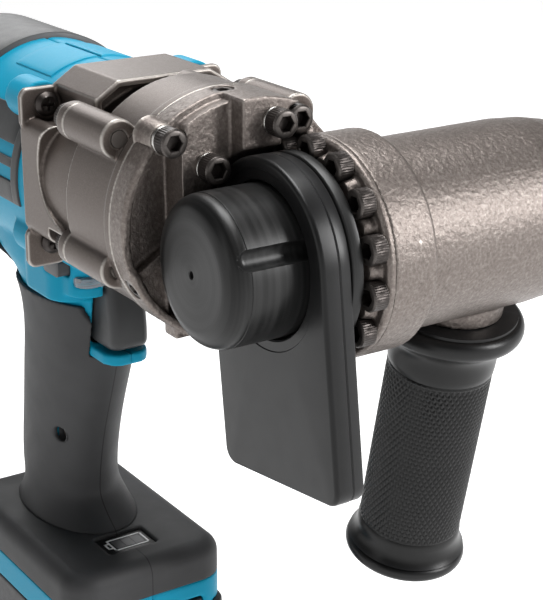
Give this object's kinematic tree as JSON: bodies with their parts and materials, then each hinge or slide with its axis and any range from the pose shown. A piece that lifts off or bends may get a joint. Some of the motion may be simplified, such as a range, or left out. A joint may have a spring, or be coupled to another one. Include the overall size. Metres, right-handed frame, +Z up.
{
  "type": "pipe threading machine",
  "caption": "Cordless hand-held pipe threading machine: pistol grip with battery, gear case, cross-mounted barrel with die head, swinging shield and side handle.",
  "frame": {"origin": "centre of the battery's flat underside", "axes": "+Z up, +X the way the motor points, +Y along the barrel out of its mouth"},
  "size_m": [0.2743, 0.1671, 0.2868],
  "materials": {
    "turquoise_shell": "satin moulded nylon",
    "soft_rubber": "matt overmould",
    "black_plastic": "satin moulded",
    "battery_plastic": "fine spark texture",
    "handle_rubber": "knurled, satin",
    "cast_alloy": "warm grey metallic paint, fine grain",
    "sand_cast": "sand-cast skin, warm grey paint",
    "blackened_steel": "black oxide, satin",
    "screw_steel": "dark oxide",
    "bright_steel": "zinc plated",
    "gear_steel": "ground and oiled",
    "tool_steel": "hardened",
    "bearing_steel": "ground",
    "motor_iron": "laminated",
    "copper_wire": "enamelled",
    "fan_plastic": "moulded",
    "circuit_board": "solder mask",
    "clear_lens": "clear",
    "cell_sleeve": "shrink sleeve"
  },
  "bodies": {
    "machine": {"shield_collar": "blackened_steel", "head_cover": "cast_alloy", "head_cover_screws": "screw_steel", "head_screws": "screw_steel", "spring_washers": "bright_steel", "barrel_casting": "sand_cast", "rim_plugs": "screw_steel", "front_bearing": "bearing_steel", "needle_bearing": "bearing_steel", "ring_gear": "gear_steel", "carrier_bearing": "bearing_steel", "carrier_end_bearing": "bearing_steel", "pinion_bearings": "bearing_steel", "motor_bearings": "bearing_steel", "stator_core": "motor_iron", "stator_windings": "copper_wire", "hall_sensor_board": "circuit_board", "gear_housing": "cast_alloy", "gear_case": "cast_alloy", "case_bolts": "screw_steel", "gear_housing_screws": "screw_steel", "housing_right": "turquoise_shell", "housing_left": "turquoise_shell", "rear_cover": "black_plastic", "grip_cover": "soft_rubber", "base_cover": "soft_rubber", "trigger_switch": "black_plastic", "lamp_lens": "clear_lens", "control_board": "circuit_board", "terminal_block": "black_plastic", "nose_ring": "sand_cast", "side_handle": "handle_rubber", "handle_stud": "bright_steel"},
    "spindle": {"turn_knob": "blackened_steel", "spindle": "gear_steel", "bevel_ring_gear": "gear_steel", "die_head": "gear_steel", "pipe_guide": "gear_steel"},
    "cam_ring": {"cam_ring": "gear_steel"},
    "die_1": {"die_1": "tool_steel"},
    "die_2": {"die_2": "tool_steel"},
    "die_3": {"die_3": "tool_steel"},
    "die_4": {"die_4": "tool_steel"},
    "shield": {"shield_front": "black_plastic", "shield_rear": "black_plastic", "shield_screws": "screw_steel"},
    "rotor": {"rotor": "motor_iron", "cooling_fan": "fan_plastic"},
    "carrier": {"planet_carrier": "gear_steel"},
    "planet_1": {"planet_gear_1": "gear_steel"},
    "planet_2": {"planet_gear_2": "gear_steel"},
    "planet_3": {"planet_gear_3": "gear_steel"},
    "pinion": {"bevel_pinion_shaft": "gear_steel", "transfer_gear": "gear_steel"},
    "trigger": {"trigger": "black_plastic"},
    "direction_button": {"direction_button": "black_plastic"},
    "battery": {"battery_case": "battery_plastic", "battery_cells": "cell_sleeve"},
    "battery_latch": {"battery_latch": "black_plastic"},
    "gauge_button": {"gauge_button": "black_plastic"}
  },
  "joints": [
    {"name": "spindle_spin", "type": "hinge", "parent": "machine", "child": "spindle", "pos_m": [0.154, 0, 0.235], "axis": [0, 1, 0], "continuous": true},
    {"name": "cam_turn", "type": "hinge", "parent": "spindle", "child": "cam_ring", "pos_m": [0.154, 0.106, 0.235], "axis": [0, 1, 0], "range_deg": [0, 20]},
    {"name": "die_1_slide", "type": "slide", "parent": "spindle", "child": "die_1", "axis": [1, 0, 0], "range_m": [0, 0.0021]},
    {"name": "die_2_slide", "type": "slide", "parent": "spindle", "child": "die_2", "axis": [0, 0, -1], "range_m": [0, 0.0021]},
    {"name": "die_3_slide", "type": "slide", "parent": "spindle", "child": "die_3", "axis": [-1, 0, 0], "range_m": [0, 0.0021]},
    {"name": "die_4_slide", "type": "slide", "parent": "spindle", "child": "die_4", "axis": [0, 0, 1], "range_m": [0, 0.0021]},
    {"name": "shield_swing", "type": "hinge", "parent": "machine", "child": "shield", "pos_m": [0.154, 0, 0.235], "axis": [0, 1, 0], "range_deg": [-75, 0]},
    {"name": "rotor_spin", "type": "hinge", "parent": "machine", "child": "rotor", "pos_m": [0.154, 0, 0.24236], "axis": [1, 0, 0], "continuous": true},
    {"name": "carrier_spin", "type": "hinge", "parent": "machine", "child": "carrier", "pos_m": [0.154, 0, 0.24236], "axis": [1, 0, 0], "continuous": true},
    {"name": "planet_1_spin", "type": "hinge", "parent": "carrier", "child": "planet_1", "pos_m": [0.154, 0.01688, 0.24236], "axis": [1, 0, 0], "continuous": true},
    {"name": "planet_2_spin", "type": "hinge", "parent": "carrier", "child": "planet_2", "pos_m": [0.154, -0.00844, 0.25697], "axis": [1, 0, 0], "continuous": true},
    {"name": "planet_3_spin", "type": "hinge", "parent": "carrier", "child": "planet_3", "pos_m": [0.154, -0.00844, 0.22775], "axis": [1, 0, 0], "continuous": true},
    {"name": "pinion_spin", "type": "hinge", "parent": "machine", "child": "pinion", "pos_m": [0.154, 0.02805, 0.235], "axis": [1, 0, 0], "continuous": true},
    {"name": "trigger_pull", "type": "slide", "parent": "machine", "child": "trigger", "axis": [-1, 0, 0], "range_m": [0, 0.007], "stiffness_N_per_m": 400},
    {"name": "direction_slide", "type": "slide", "parent": "machine", "child": "direction_button", "axis": [0, 1, 0], "range_m": [-0.002, 0.002]},
    {"name": "battery_slide", "type": "slide", "parent": "machine", "child": "battery", "axis": [1, 0, 0], "range_m": [0, 0.1]},
    {"name": "battery_latch_press", "type": "slide", "parent": "battery", "child": "battery_latch", "axis": [0, 0, -1], "range_m": [0, 0.003], "stiffness_N_per_m": 500},
    {"name": "gauge_button_press", "type": "slide", "parent": "machine", "child": "gauge_button", "axis": [0, 0, -1], "range_m": [0, 0.0008], "stiffness_N_per_m": 600}
  ],
  "couplings": [
    {"joint": "pinion_spin", "follows": "spindle_spin", "ratio": 3},
    {"joint": "carrier_spin", "follows": "spindle_spin", "ratio": -4.9091},
    {"joint": "rotor_spin", "follows": "spindle_spin", "ratio": -29.455},
    {"joint": "planet_1_spin", "follows": "spindle_spin", "ratio": 12.273},
    {"joint": "planet_2_spin", "follows": "spindle_spin", "ratio": 12.273},
    {"joint": "planet_3_spin", "follows": "spindle_spin", "ratio": 12.273},
    {"joint": "die_1_slide", "follows": "cam_turn", "m_per_rad": 0.0057296},
    {"joint": "die_2_slide", "follows": "cam_turn", "m_per_rad": 0.0057296},
    {"joint": "die_3_slide", "follows": "cam_turn", "m_per_rad": 0.0057296},
    {"joint": "die_4_slide", "follows": "cam_turn", "m_per_rad": 0.0057296}
  ]
}
